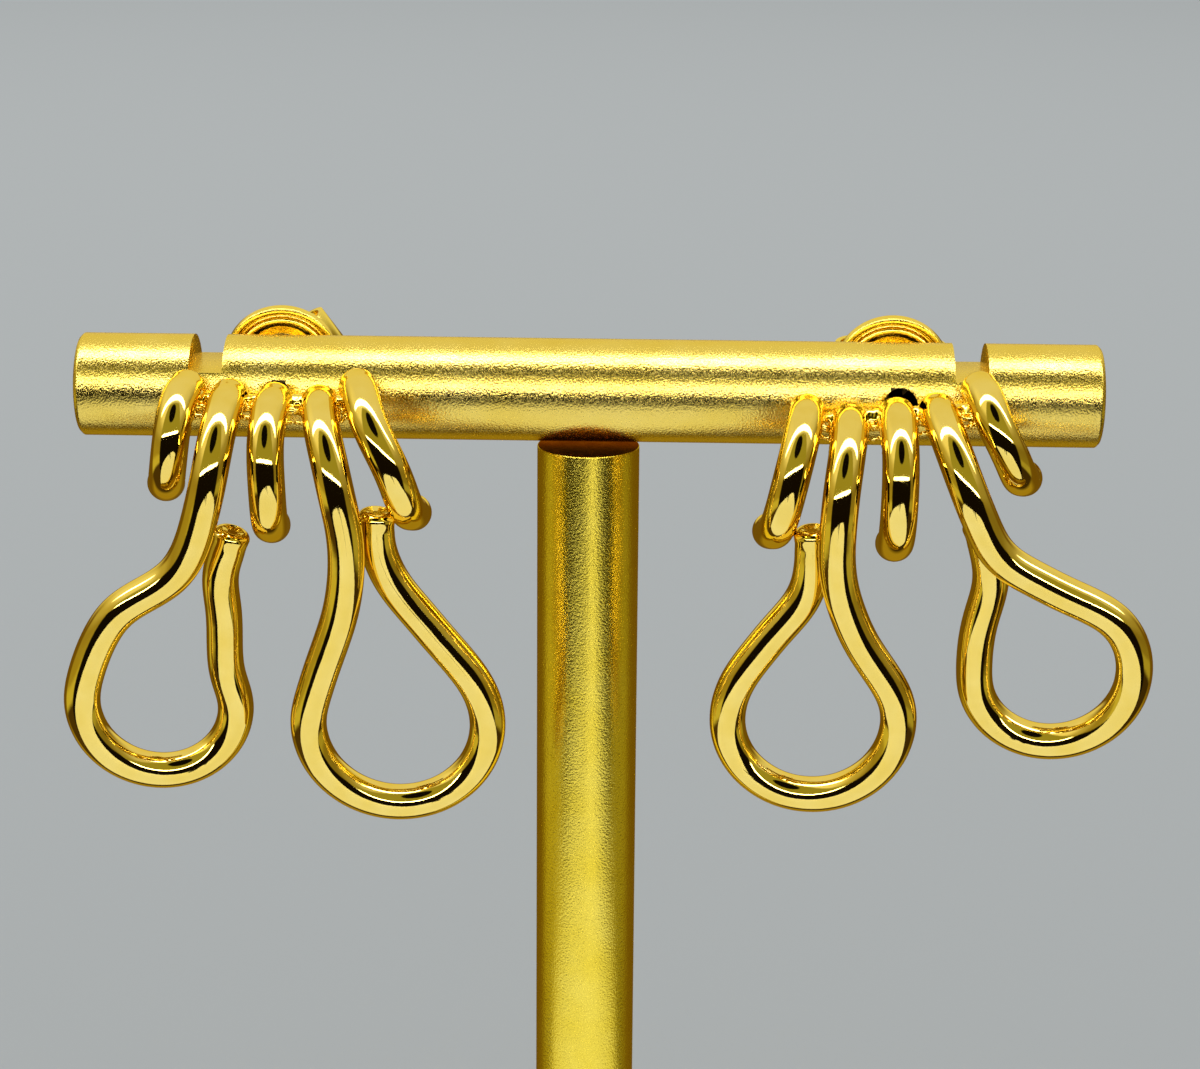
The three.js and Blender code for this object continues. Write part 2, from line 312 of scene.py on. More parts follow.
# %% Dressing a piece
def dress(piece, metal, node):
    """Gives the piece its metal, hangs it under the root body and hides the solid it stands for.
    """
    piece.data.materials.clear()
    piece.data.materials.append(metal)
    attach(piece, "root")
    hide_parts(node)
    faces = sum(len(p.vertices) - 2 for p in piece.data.polygons)
    print(f"{piece.name}: {faces} triangles")


def repaint(piece, metal, chosen):
    """Gives the chosen faces of a dressed piece a second metal."""
    piece.data.materials.append(metal)
    piece.data.polygons.foreach_set("material_index", [int(picked) for picked in chosen])
    print(f"{piece.name}: {sum(chosen)} faces in {metal.name}")


# %% [markdown]
# ## Gold
# Gold is a metal with a coloured mirror. Two finishes cover most of this object. The earrings are
# polished and plated: nearly a mirror, but hand polishing leaves low waves that make every
# reflected edge wander. The stand is blasted with fine beads: the grain is about a tenth of a
# millimetre, and it sparkles wherever the reflected light changes quickly. The pressed clutches
# and the solder lie between the two. The upright's blasted gold has a lighter base than the bar's,
# which is painted light. Two dark golds are painted shade: one on the upright's top under the bar,
# one in the bores. All of them need a drift of tone and a fine relief, so that part is one shader
# group with named inputs.

# %% The shared relief group
def socket(tree, name, direction, kind="NodeSocketFloat", value=None):
    """Gives a node group an input or output, with its starting value."""
    made = tree.interface.new_socket(name=name, in_out=direction, socket_type=kind)
    if value is not None:
        made.default_value = value
    return made


def build_relief():
    """Drift and grain from the piece's own coordinates, with the sizes as inputs."""
    tree = bpy.data.node_groups.new("gold_relief", "ShaderNodeTree")
    for name, value in (("Wave Scale", 600.0), ("Grain Scale", 6000.0), ("Grain Share", 0.5)):
        socket(tree, name, "INPUT", value=value)
    for name in ("Tone", "Grain", "Height"):
        socket(tree, name, "OUTPUT")
    add, link = tree.nodes.new, tree.links.new
    entry, leave = add("NodeGroupInput"), add("NodeGroupOutput")
    place = add("ShaderNodeTexCoord")
    waves, grain, pits = (add(f"ShaderNodeTex{kind}") for kind in ("Noise", "Noise", "Voronoi"))
    waves.inputs["Detail"].default_value = 2.0
    grain.inputs["Detail"].default_value = 3.0
    grain.inputs["Roughness"].default_value = 0.65
    pits.feature = "SMOOTH_F1"
    pits.inputs["Smoothness"].default_value = 0.6
    for texture, scale in ((waves, "Wave Scale"), (grain, "Grain Scale"), (pits, "Grain Scale")):
        link(place.outputs["Object"], texture.inputs["Vector"])
        link(entry.outputs[scale], texture.inputs["Scale"])
    grains = add("ShaderNodeMix")
    grains.inputs["Factor"].default_value = 0.55
    link(grain.outputs["Fac"], grains.inputs["A"])
    link(pits.outputs["Distance"], grains.inputs["B"])
    height = add("ShaderNodeMix")
    link(entry.outputs["Grain Share"], height.inputs["Factor"])
    link(waves.outputs["Fac"], height.inputs["A"])
    link(grains.outputs["Result"], height.inputs["B"])
    link(waves.outputs["Fac"], leave.inputs["Tone"])
    link(grains.outputs["Result"], leave.inputs["Grain"])
    link(height.outputs["Result"], leave.inputs["Height"])
    return tree


relief = build_relief()
print("relief group with", len(relief.nodes), "nodes")

# %% [markdown]
# A metal is then a Principled shader with its constants set on its own sockets. The tone runs
# between two golds, the roughness between two values, and the relief goes through a Bump node.

# %% A gold from the group
def gold(name, shades, rough, waves, grain, share, depth, edge):
    """A gold material: two shades, a roughness range, relief sizes in mm and depth in mm."""
    metal = bpy.data.materials.new(name)
    metal.use_nodes = True
    tree = metal.node_tree
    add, link = tree.nodes.new, tree.links.new
    shader = tree.nodes["Principled BSDF"]
    shader.inputs["Metallic"].default_value = 1.0
    shader.inputs["Specular Tint"].default_value = (*edge, 1)
    surface = add("ShaderNodeGroup")
    surface.node_tree = relief
    surface.inputs["Wave Scale"].default_value = 1.0 / (waves * MM)
    surface.inputs["Grain Scale"].default_value = 1.0 / (grain * MM)
    surface.inputs["Grain Share"].default_value = share
    tone = add("ShaderNodeValToRGB")
    for stop, position, shade in zip(tone.color_ramp.elements, (0.3, 0.7), shades):
        stop.position = position
        stop.color = (*shade, 1)
    link(surface.outputs["Tone"], tone.inputs["Fac"])
    link(tone.outputs["Color"], shader.inputs["Base Color"])
    spread = add("ShaderNodeMapRange")
    spread.inputs["From Min"].default_value = 0.25
    spread.inputs["From Max"].default_value = 0.75
    spread.inputs["To Min"].default_value, spread.inputs["To Max"].default_value = rough
    link(surface.outputs["Grain"], spread.inputs["Value"])
    link(spread.outputs["Result"], shader.inputs["Roughness"])
    bump = add("ShaderNodeBump")
    bump.inputs["Strength"].default_value = 1.0
    bump.inputs["Distance"].default_value = depth * MM
    link(surface.outputs["Height"], bump.inputs["Height"])
    link(bump.outputs["Normal"], shader.inputs["Normal"])
    print("gold:", name)
    return metal


polished = gold(
    "polished_plate", shades=((0.93, 0.68, 0.12), (0.97, 0.74, 0.17)), rough=(0.03, 0.075),
    waves=1.6, grain=0.09, share=0.06, depth=0.012, edge=(1.0, 0.86, 0.45),
)
solder_gold = gold(
    "solder_plate", shades=((1.0, 0.70, 0.10), (1.0, 0.80, 0.18)), rough=(0.10, 0.20),
    waves=0.7, grain=0.12, share=0.1, depth=0.03, edge=(1.0, 0.85, 0.4),
)
blasted = gold(
    "blasted_plate", shades=((0.90, 0.66, 0.10), (0.94, 0.72, 0.15)), rough=(0.21, 0.31),
    waves=3.0, grain=0.12, share=1.0, depth=0.024, edge=(1.0, 0.88, 0.5),
)
# A copy of the blasted gold with its own roughness and relief, and a lighter base that is painted
# light on the upright's sides.
blasted_upright_lightened = gold(
    "blasted_upright_lightened", shades=((0.93, 0.70, 0.05), (0.98, 0.77, 0.09)), rough=(0.22, 0.30),
    waves=3.0, grain=0.12, share=1.0, depth=0.021, edge=(1.0, 0.88, 0.4),
)
pressed = gold(
    "pressed_plate", shades=((0.98, 0.73, 0.12), (1.0, 0.80, 0.17)), rough=(0.13, 0.21),
    waves=1.6, grain=0.09, share=0.1, depth=0.012, edge=(1.0, 0.88, 0.5),
)
# Painted shade: a dark gold for the flat top of the upright, which lies in the shade under the
# bar.
upright_top_shade = gold(
    "upright_top_shade", shades=((0.20, 0.07, 0.008), (0.30, 0.11, 0.012)), rough=(0.3, 0.45),
    waves=1.0, grain=0.12, share=1.0, depth=0.02, edge=(0.6, 0.35, 0.1),
)
# Painted shade: a near-black gold for the inside of the bar's holes, the posts where they pass
# through them, and the disc bosses.
bore_shade = gold(
    "bore_painted_shade", shades=((0.05, 0.035, 0.01), (0.09, 0.06, 0.02)), rough=(0.4, 0.6),
    waves=1.0, grain=0.12, share=0.5, depth=0.02, edge=(0.3, 0.25, 0.15),
)

# %% [markdown]
# ## The stand
# The foot is a plain turned disc, and the upright a length of rod that meets it square, with a
# thin dark joint line. Both are spun from eased profiles. The flat top of the upright stands in
# the shade under the bar, and that shade is painted on it in a dark gold. The foot is far below,
# and nothing mirrors it.

# %% Foot and upright
foot_radius = FOOT / 2
foot_flat = foot_radius - FOOT_EDGE
foot_profile = eased([(0, 0), (foot_flat, 0), (foot_radius, FOOT_EDGE),
                      (foot_radius, FOOT_HEIGHT - FOOT_EDGE), (foot_flat, FOOT_HEIGHT),
                      (0, FOOT_HEIGHT)], 0.3)
foot = add_object("foot", turned_mesh("foot", in_metres(foot_profile), 160))
dress(foot, blasted, "stand_base")
foot.visible_glossy = False

ROD_EASE, END_STEP = 0.06, 0.3
rod_radius = ROD / 2
rod_bottom, rod_top = FOOT_HEIGHT + JOINT_LINE, BAR_HEIGHT - rod_radius - SEAT
lengths = [(rod_radius, h) for h in np.linspace(rod_bottom + END_STEP, rod_top - END_STEP, 40)]
rod_profile = (eased([(0, rod_bottom), (rod_radius, rod_bottom), lengths[0]], ROD_EASE)[:-1]
               + lengths
               + eased([lengths[-1], (rod_radius, rod_top), (0, rod_top)], ROD_EASE)[1:])
upright = add_object("upright", turned_mesh("upright", in_metres(rod_profile), 128))
dress(upright, blasted_upright_lightened, "stand_upright")
# The upright's flat top gets the painted shade from under the bar.
repaint(upright, upright_top_shade, [face.normal.z > 0.99 and face.center.z > (rod_top - 1.0) * MM
                            for face in upright.data.polygons])

# %% [markdown]
# The bar is the same rod laid across. A saw cuts two flat-bottomed notches near its ends, and a
# drill makes the two holes for the ear posts. In Blender that is a boolean with a few cutters,
# and then a narrow bevel on every new edge, because blasting rounds a cut edge off.

# %% The bar and its cutters
half, face_ring, face_edge = BAR_LENGTH / 2, rod_radius * 0.6, rod_radius - BAR_EDGE
rings = [(rod_radius, h) for h in np.linspace(-half + BAR_EDGE, half - BAR_EDGE, 74)]
left_end = [(face_ring, -half), (face_edge, -half), rings[0], rings[1]]
right_end = [rings[-2], rings[-1], (face_edge, half), (face_ring, half)]
bar_profile = ([(0, -half), left_end[0]] + eased(left_end, WORN)[1:-1] + rings[1:-1]
               + eased(right_end, WORN)[1:-1] + [right_end[-1], (0, half)])
bar_mesh = turned_mesh("crossbar", bar_profile, 144)
bar_mesh.transform(Matrix.Rotation(math.pi / 2, 4, "Y"))
crossbar = add_object("crossbar", bar_mesh)


def cutter_box(x):
    """What the saw takes out for one notch."""
    built = bmesh.new()
    depth = rod_radius - NOTCH_FLOOR + 1.0
    bmesh.ops.create_cube(built, size=1.0)
    bmesh.ops.scale(built, vec=(NOTCH_WIDTH, 2 * ROD, depth), verts=built.verts)
    bmesh.ops.translate(built, vec=(x, 0, NOTCH_FLOOR + depth / 2), verts=built.verts)
    return finished(built, "notch_cutter")


def cutter_drill(x):
    """What the drill takes out for one hole."""
    mesh = drill_mesh(HOLE, -ROD, ROD, 56)
    mesh.transform(Matrix.Rotation(math.pi / 2, 4, "X"))
    mesh.transform(Matrix.Translation((x, 0, 0)))
    return mesh


print("bar blank:", len(bar_mesh.polygons), "faces")

# %% Cutting and easing the bar
BORE_SLACK, BORE_LIP = 0.03, 0.12
cutters = [add_object("cutter", cutter_of(x))
           for cutter_of, at in ((cutter_box, NOTCH_X), (cutter_drill, HOLE_X)) for x in (-at, at)]
cut_and_eased(crossbar, cutters, WORN, sharp=38)
in_bore = [abs(math.hypot(abs(face.center.x) - HOLE_X, face.center.z) - HOLE / 2) < BORE_SLACK
           and abs(face.center.y) < rod_radius - BORE_LIP for face in crossbar.data.polygons]
crossbar.data.transform(Matrix.Translation((0, 0, BAR_HEIGHT * MM)) @ Matrix.Scale(MM, 4))
dress(crossbar, blasted, "stand_crossbar")
# The faces inside the holes get the bore's painted shade.
repaint(crossbar, bore_shade, in_bore)

# %% [markdown]
# ## Rolling a wire
# The wire is first drawn flat, then wrapped over a round former that lies across it. A smooth
# spline runs through the table's points, and a moving average takes out the small steps in
# curvature that a mirror finish would show as kinks.

# %% A smooth course through the table's points
COURSE_POINTS, FLAT_EASE, BENT_EASE, RING_STEP = 500, 0.55, 0.4, 30


def spline(points, count):
    """Evenly spaced samples of a centripetal spline through the points."""
    knots = np.array([2 * points[0] - points[1], *points, 2 * points[-1] - points[-2]])
    gaps = np.sqrt(np.linalg.norm(np.diff(knots, axis=0), axis=1))
    times = np.concatenate([[0], np.cumsum(gaps)])
    out = []
    for i in range(1, len(knots) - 2):
        p, t = knots[i - 1:i + 3], times[i - 1:i + 3]
        for at in np.linspace(t[1], t[2], 40, endpoint=i == len(knots) - 3):
            a = [(t[k + 1] - at) / (t[k + 1] - t[k]) * p[k]
                 + (at - t[k]) / (t[k + 1] - t[k]) * p[k + 1] for k in range(3)]
            b = [(t[k + 2] - at) / (t[k + 2] - t[k]) * a[k]
                 + (at - t[k]) / (t[k + 2] - t[k]) * a[k + 1] for k in range(2)]
            out.append((t[2] - at) / (t[2] - t[1]) * b[0] + (at - t[1]) / (t[2] - t[1]) * b[1])
    return even(np.array(out), count)


def even(points, count=None, at=None):
    """Points at even lengths along a course, or at the lengths given."""
    along = np.concatenate([[0], np.cumsum(np.linalg.norm(np.diff(points, axis=0), axis=1))])
    if at is None:
        at = np.linspace(0, along[-1], count)
    return np.stack([np.interp(at, along, points[:, k]) for k in range(3)], axis=1)


def course_length(points):
    """How long the wire is before it is bent."""
    return float(np.linalg.norm(np.diff(points, axis=0), axis=1).sum())


def softened(points, reach):
    """A moving average along an evenly spaced course; its two ends stay in place."""
    step = course_length(points) / (len(points) - 1)
    width = max(int(3 * reach / step), 1)
    weights = np.exp(-0.5 * (np.arange(-width, width + 1) * step / reach) ** 2)
    weights /= weights.sum()
    before = 2 * points[0] - points[width:0:-1]
    after = 2 * points[-1] - points[-2:-width - 2:-1]
    padded = np.concatenate([before, points, after])
    return np.stack([np.convolve(padded[:, k], weights, mode="valid") for k in range(3)], axis=1)


# %% From the flat sheet to the former
def rolled(flat, top, roll, last_angle):
    """Wraps (across, along, behind) points over a former; past last_angle it runs straight."""
    across, along, behind = flat.T
    lead = FORMER_Y - ROOT_Y
    bent = np.maximum(along - lead, 0) / roll
    angle = np.maximum(math.pi / 2 - bent, last_angle)
    straight = np.maximum(bent * roll - (math.pi / 2 - angle) * roll, 0)
    forward = (np.minimum(along, lead) + ROOT_Y + (roll - behind) * np.cos(angle)
               + straight * np.sin(angle))
    height = top - roll + (roll - behind) * np.sin(angle) - straight * np.cos(angle)
    return np.stack([across, -forward, height], axis=1)


def flat_course(wire):
    """The wire's drawn course, with the loop's circle laid in point by point."""
    if "outline" in wire:
        return [np.array((x, y, 0.0)) for x, y in wire["outline"]]
    across, along, radius, start, end = wire["loop"]
    turns, behind, aside = round(abs(end - start) / RING_STEP), wire["behind"], wire["aside"]
    ring = []
    for i in range(turns + 1):
        angle = math.radians(start + (end - start) * i / turns)
        t = min(max((i / turns - LOOP_TURN[0]) / (LOOP_TURN[1] - LOOP_TURN[0]), 0), 1)
        turned = t * t * (3 - 2 * t)
        ring.append((across + radius * math.cos(angle) + aside * turned,
                     along + radius * math.sin(angle) + LOOP_SINK * behind * turned,
                     behind * turned))
    stem = [(x, y, 0.0) for x, y in wire["stem"]]
    tail = [(x + aside, y + LOOP_SINK * behind, behind) for x, y in wire["tail"]]
    return [np.array(p, float) for p in (*stem, *ring, *tail)]


def wire_course(wire):
    """The bent wire's centre line in the earring's own frame, in millimetres."""
    flat = softened(spline(flat_course(wire), COURSE_POINTS), FLAT_EASE)
    if "outline" in wire:
        bent = rolled(flat, wire["top"], wire["roll"], CURL_END)
    else:
        bent = rolled(flat, wire["top"], LOOP_FORMER, -LOOP_LEAN)
    return softened(even(bent, COURSE_POINTS), BENT_EASE)


COURSES = {side: {name: wire_course(wire) for name, wire in earring["wires"].items()}
           for side, earring in EARRINGS.items()}
for side, courses in COURSES.items():
    print(side, {name: round(course_length(course), 1) for name, course in courses.items()})

# %% [markdown]
# ## One tree of Geometry Nodes for every wire
# A wire follows a path, so one tree sweeps them all. Each path is a chain of edges whose points
# carry an attribute, `fullness`: 1 along the wire, and less where the cut end's edge is rounded.
# The tree turns the chain into a curve, sweeps a circle along it, closes the ends, and sets the
# material. Its sizes are named inputs.

# %% The wire tree
def build_wire_tree():
    """Turns a chain of points into a wire of the diameter, with closed ends."""
    tree = bpy.data.node_groups.new("wire_along_path", "GeometryNodeTree")
    socket(tree, "Path", "INPUT", "NodeSocketGeometry")
    socket(tree, "Diameter", "INPUT", value=WIRE * MM)
    socket(tree, "Sides", "INPUT", "NodeSocketInt", 48)
    socket(tree, "Metal", "INPUT", "NodeSocketMaterial")
    socket(tree, "Wire", "OUTPUT", "NodeSocketGeometry")
    add, link = tree.nodes.new, tree.links.new
    entry, leave = add("NodeGroupInput"), add("NodeGroupOutput")
    made = [add("GeometryNode" + kind) for kind in (
        "MeshToCurve", "SetCurveRadius", "InputNamedAttribute", "CurvePrimitiveCircle",
        "CurveToMesh", "SetShadeSmooth", "RealizeInstances", "SetMaterial")]
    path, fuller, fullness, ring, sweep, smooth, real, metal = made
    radius, half_size = add("ShaderNodeMath"), add("ShaderNodeMath")
    fullness.inputs["Name"].default_value = "fullness"
    radius.operation = half_size.operation = "MULTIPLY"
    half_size.inputs[1].default_value = 0.5
    ring.inputs["Radius"].default_value = 1.0
    sweep.inputs["Fill Caps"].default_value = True
    link(entry.outputs["Diameter"], half_size.inputs[0])
    link(half_size.outputs[0], radius.inputs[0])
    link(fullness.outputs["Attribute"], radius.inputs[1])
    link(entry.outputs["Path"], path.inputs["Mesh"])
    link(path.outputs["Curve"], fuller.inputs["Curve"])
    link(radius.outputs[0], fuller.inputs["Radius"])
    link(entry.outputs["Sides"], ring.inputs["Resolution"])
    link(fuller.outputs["Curve"], sweep.inputs["Curve"])
    link(ring.outputs["Curve"], sweep.inputs["Profile Curve"])
    link(add("GeometryNodeInputRadius").outputs["Radius"], sweep.inputs["Scale"])
    link(sweep.outputs["Mesh"], smooth.inputs["Geometry"])
    link(smooth.outputs["Geometry"], real.inputs["Geometry"])
    link(real.outputs["Geometry"], metal.inputs["Geometry"])
    link(entry.outputs["Metal"], metal.inputs["Material"])
    link(metal.outputs["Geometry"], leave.inputs["Wire"])
    return tree


wire_tree = build_wire_tree()
wire_inputs = {item.name: item.identifier for item in wire_tree.interface.items_tree
               if item.in_out == "INPUT"}
print("wire tree inputs:", list(wire_inputs))

# %% Dishing the cut ends
def dished(wire):
    """Cutters leave a wire's end slightly hollow: each end face is inset and pushed in, twice."""
    built = bmesh.new()
    built.from_mesh(wire.data)
    for reach, push in ((0.12, 0.3), (0.22, 0.7)):
        ends = [f for f in built.faces if len(f.verts) > 8]
        bmesh.ops.inset_individual(built, faces=ends, thickness=reach * MM)
        for face in ends:
            for vertex in face.verts:
                vertex.co -= face.normal * push * CUT_DISH * MM
    built.to_mesh(wire.data)
    built.free()
    wire.data.shade_smooth()
    return wire


# %% Sweeping one wire
# The cutters leave a burr next to the end and a slight neck: how much, how far in, how wide.
BURR, NECK = (0.03, 0.4, 0.25), (-0.02, 0.95, 0.3)


def swept(name, course, diameter, place, metal, sides=48, step=0.22, edge=CUT_EDGE):
    """A wire along the course, with rounded cut ends, as a plain mesh in the stand's frame."""
    length = course_length(course)
    arc = [math.radians(a) for a in (0, 15, 30, 45, 60, 75)]
    start = [edge * (1 - math.cos(a)) for a in arc]
    middle = list(np.linspace(edge, length - edge, max(int((length - 2 * edge) / step), 2)))
    stations = np.array(start + middle + [length - d for d in reversed(start)])
    ends = np.minimum(stations, length - stations)
    inside = np.clip(edge - ends, 0, edge)
    fullness = (diameter / 2 - edge + np.sqrt(edge ** 2 - inside ** 2)) / (diameter / 2)
    for share, centre, width in (BURR, NECK):
        fullness += share * np.exp(-((ends - centre) / width) ** 2)
    points = even(course, at=stations) + np.array(place)
    mesh = bpy.data.meshes.new(name)
    chain = [(i, i + 1) for i in range(len(points) - 1)]
    mesh.from_pydata([tuple(p * MM) for p in points], chain, [])
    shares = mesh.attributes.new("fullness", "FLOAT", "POINT")
    shares.data.foreach_set("value", fullness.astype(np.float32))
    wire = add_object(name, mesh)
    nodes = wire.modifiers.new("wire", "NODES")
    nodes.node_group = wire_tree
    nodes[wire_inputs["Diameter"]] = diameter * MM
    nodes[wire_inputs["Sides"]] = sides
    nodes[wire_inputs["Metal"]] = metal
    return dished(applied(wire))


# %% All ten bent wires
def hang_at(earring):
    """The middle of the earring's hole in the bar."""
    return (earring["side"] * HOLE_X, 0.0, BAR_HEIGHT)


for side, earring in EARRINGS.items():
    for wire_name, course in COURSES[side].items():
        piece = swept(f"{side}_{wire_name}", course, WIRE, hang_at(earring), polished)
        dress(piece, polished, f"{side}_earring")

# %% [markdown]
# ## Solder
# The five wires are joined by a short rod behind their tops, with solder drawn into each gap. The
# solder is lumpy: it wets both wires, stands in small ridges and runs a little down their flanks.
# Many small drops are merged by a voxel remesh, smoothed, and then crinkled by a seeded noise.

# %% Drops between two wires
# Each row of a saddle: its height over the bridge, its place along the wires, its thickness.
SADDLE_ROWS = ((-0.08, 0.5, 1.1), (-0.45, 1.0, 0.95), (-0.9, 1.4, 0.65))
DROPS, RUN_START, RUN_STEP, RUN_SHARE = 9, 1.3, 0.34, 0.8


def add_drop(built, centre, size, direction=(0, 0, 1)):
    """An oval drop with its long side in the direction."""
    turned_to = Vector((0, 0, 1)).rotation_difference(Vector(direction)).to_matrix().to_4x4()
    place = Matrix.Translation(centre) @ turned_to @ Matrix.Diagonal((*size, 1))
    bmesh.ops.create_icosphere(built, subdivisions=2, radius=1.0, matrix=place)


def solder_joint(built, course_a, course_b, bridge_z, chance):
    """A saddle of solder between two neighbouring wires, and thin runs down both flanks."""
    for low, deep, fat in SADDLE_ROWS:
        a, b = (even(c, at=np.array([deep]))[0] for c in (course_a, course_b))
        a[2], b[2] = (min(end, bridge_z) + low for end in (a[2], b[2]))
        for k in range(DROPS):
            t = k / (DROPS - 1)
            saddle = 0.24 + 0.34 * (2 * t - 1) ** 2
            astray = Vector([chance.uniform(-0.07, 0.07) for _ in range(3)])
            centre = Vector(a + (b - a) * t) + astray
            size = fat * saddle * chance.uniform(0.85, 1.15)
            add_drop(built, centre, (size * 1.2, size, size))
    for course, other in ((course_a, course_b), (course_b, course_a)):
        for k in range(DROPS):
            at = RUN_START + RUN_STEP * k
            here, ahead = even(course, at=np.array([at, at + 0.3]))
            toward = 1.0 if other[0][0] > course[0][0] else -1.0
            thin = 0.17 * (1 - k / 11) + 0.02
            centre = Vector(here) + Vector((toward * (WIRE / 2 - 0.05), 0.22, -0.1))
            if chance.random() < RUN_SHARE:
                add_drop(built, centre, (thin, thin * 1.3, 0.28), ahead - here)


# %% The bridge with its solder
SEEDS, BRIDGE_DROPS = {"left": 41, "right": 57}, 60


def solder_mesh(side, earring):
    """The bridge as a close row of drops, and a joint in each gap between two wires."""
    chance = random.Random(SEEDS[side])
    built = bmesh.new()
    courses = sorted(COURSES[side].values(), key=lambda course: course[0][0])
    (start_x, start_z), (end_x, end_z) = earring["bridge"]
    for i in range(BRIDGE_DROPS):
        t = i / (BRIDGE_DROPS - 1)
        centre = (start_x + (end_x - start_x) * t, BRIDGE_SEEN / 2 - FORMER_Y + 0.1,
                  start_z + (end_z - start_z) * t - BRIDGE_DROP)
        add_drop(built, centre, (BRIDGE_SEEN / 2,) * 3)
    for course_a, course_b in zip(courses, courses[1:]):
        t = (0.5 * (course_a[0][0] + course_b[0][0]) - start_x) / (end_x - start_x)
        solder_joint(built, course_a, course_b, start_z + (end_z - start_z) * t, chance)
    return finished(built, f"{side}_solder")


def crinkled(piece, depth, size, seed):
    """Moves each point along its normal by a seeded noise, which makes small ridges."""
    shift = Vector((seed, -seed, seed * 0.5))
    places = [vertex.co.copy() for vertex in piece.data.vertices]
    outward = [normal.vector.copy() for normal in piece.data.vertex_normals]
    for vertex, place, normal in zip(piece.data.vertices, places, outward):
        at = place / size + shift
        ridge = 1 - 2 * abs(noise.noise(at))
        vertex.co = place + normal * depth * (ridge * 0.7 + noise.noise(at * 2.3) * 0.5 - 0.25)


for side, earring in EARRINGS.items():
    solder = add_object(f"{side}_solder", solder_mesh(side, earring))
    remesh = solder.modifiers.new("merge", "REMESH")
    remesh.mode = "VOXEL"
    remesh.voxel_size = 0.075
    smooth = solder.modifiers.new("soften", "SMOOTH")
    smooth.factor = 0.6
    smooth.iterations = 8
    applied(solder)
    crinkled(solder, depth=0.05, size=0.55, seed=3.7)
    solder.data.shade_smooth()
    solder.data.transform(Matrix.Translation(Vector(hang_at(earring)) * MM) @ Matrix.Scale(MM, 4))
    dress(solder, solder_gold, f"{side}_earring")

# %% [markdown]
# ## Ear posts
# A post is a thin straight rod with a round tip and a small collar of solder at its root. It
# leaves the bridge, crosses the bar's hole slightly tilted, because the earring hangs from it,
# and sticks out behind the clutch. Inside the bar, and for a millimetre in front of it, it takes
# the bore's painted shade.

# %% Posts
SHADE_FRONT, SHADE_BACK = 1.0, 0.1


def post_frame(earring):
    """Turns +Z into the post's direction, and puts the origin at its root."""
    (front_x, front_z), (back_x, back_z) = earring["post"]
    front = Vector((front_x, -rod_radius, front_z))
    back = Vector((back_x, rod_radius, back_z))
    direction = (back - front).normalized()
    root = front - direction * (FORMER_Y - rod_radius)
    turn_to = Vector((0, 0, 1)).rotation_difference(direction).to_matrix().to_4x4()
    return root, direction, turn_to


def place_on_post(piece, earring, offset=0.0):
    """Moves a mesh made about +Z onto the post of its earring, and into metres."""
    root, direction, turn_to = post_frame(earring)
    at = Vector(hang_at(earring)) + root + direction * offset
    piece.data.transform(Matrix.Scale(MM, 4) @ Matrix.Translation(at) @ turn_to)


def past_bar(earring, gap):
    """Where on the post a piece starts that stands off the bar's back by the gap."""
    root, direction, _ = post_frame(earring)
    return rod_radius + gap - root.dot(direction)


tip = [(POST / 2 * math.cos(a), POST_LENGTH - POST / 2 + POST / 2 * math.sin(a))
       for a in np.linspace(0, math.pi / 2, 9)]
tip[-1] = (0.0, POST_LENGTH)
shaft = [(POST / 2, h) for h in np.linspace(COLLAR_LENGTH + 0.2, POST_LENGTH - POST / 2 - 0.1, 24)]
flare = [(POST / 2 + (COLLAR - POST) / 2 * math.exp(-3.2 * t) * (1 - 0.3 * t), COLLAR_LENGTH * t)
         for t in np.linspace(0.0, 1.2, 10)]
post_profile = [(0.0, 0.0)] + flare[:-1] + shaft + tip
for side, earring in EARRINGS.items():
    post = add_object(f"{side}_post", turned_mesh(f"{side}_post", post_profile, 48))
    place_on_post(post, earring)
    dress(post, polished, f"{side}_earring")
    # The post gets the bore's painted shade inside the bar and for a millimetre in front of it.
    front, back = -(rod_radius + SHADE_FRONT) * MM, (rod_radius + SHADE_BACK) * MM
    repaint(post, bore_shade, [front < face.center.y < back for face in post.data.polygons])

# %% [markdown]
# ## Clutch discs
# The disc behind the bar spreads the load on the ear. It is pressed from sheet: a rounded raised
# rim, a groove, a ridge, a shallow dish and a boss with the bore. A closed profile is spun, so
# there is no pole, only the bore. The boss lies in the shade of the bar's hole, and is dark too.

# %% Discs
BOSS_REACH, BOSS_DEPTH = 1.75, 0.38
disc_radius, bore_radius = DISC / 2, DISC_BORE / 2
disc_profile = eased(
    [(bore_radius, 0.4), (bore_radius, 0.12), (1.5, 0.12), (1.7, 0.36), (2.3, 0.32), (2.45, 0.14),
     (2.7, 0.14), (2.85, 0.36), (2.98, 0.36), (3.08, 0.0), (disc_radius - 0.02, 0.0),
     (disc_radius, 0.2), (disc_radius, DISC_THICK - 0.02), (disc_radius - 0.3, DISC_THICK),
     (1.4, DISC_THICK), (bore_radius, DISC_THICK), (bore_radius, 0.41)], 0.16, steps=4)
for side, earring in EARRINGS.items():
    disc = add_object(f"{side}_disc", turned_mesh(f"{side}_disc", disc_profile, 144, closed=True))
    on_boss = [math.hypot(*face.center.xy) < BOSS_REACH and face.center.z < BOSS_DEPTH
               for face in disc.data.polygons]
    shift_x, shift_z = earring["disc_shift"]
    disc.data.transform(Matrix.Translation((shift_x, -shift_z, 0)))
    place_on_post(disc, earring, past_bar(earring, DISC_SEAT))
    dress(disc, pressed, f"{side}_clutch_disc")
    # The boss gets the bore's painted shade too.
    repaint(disc, bore_shade, on_boss)

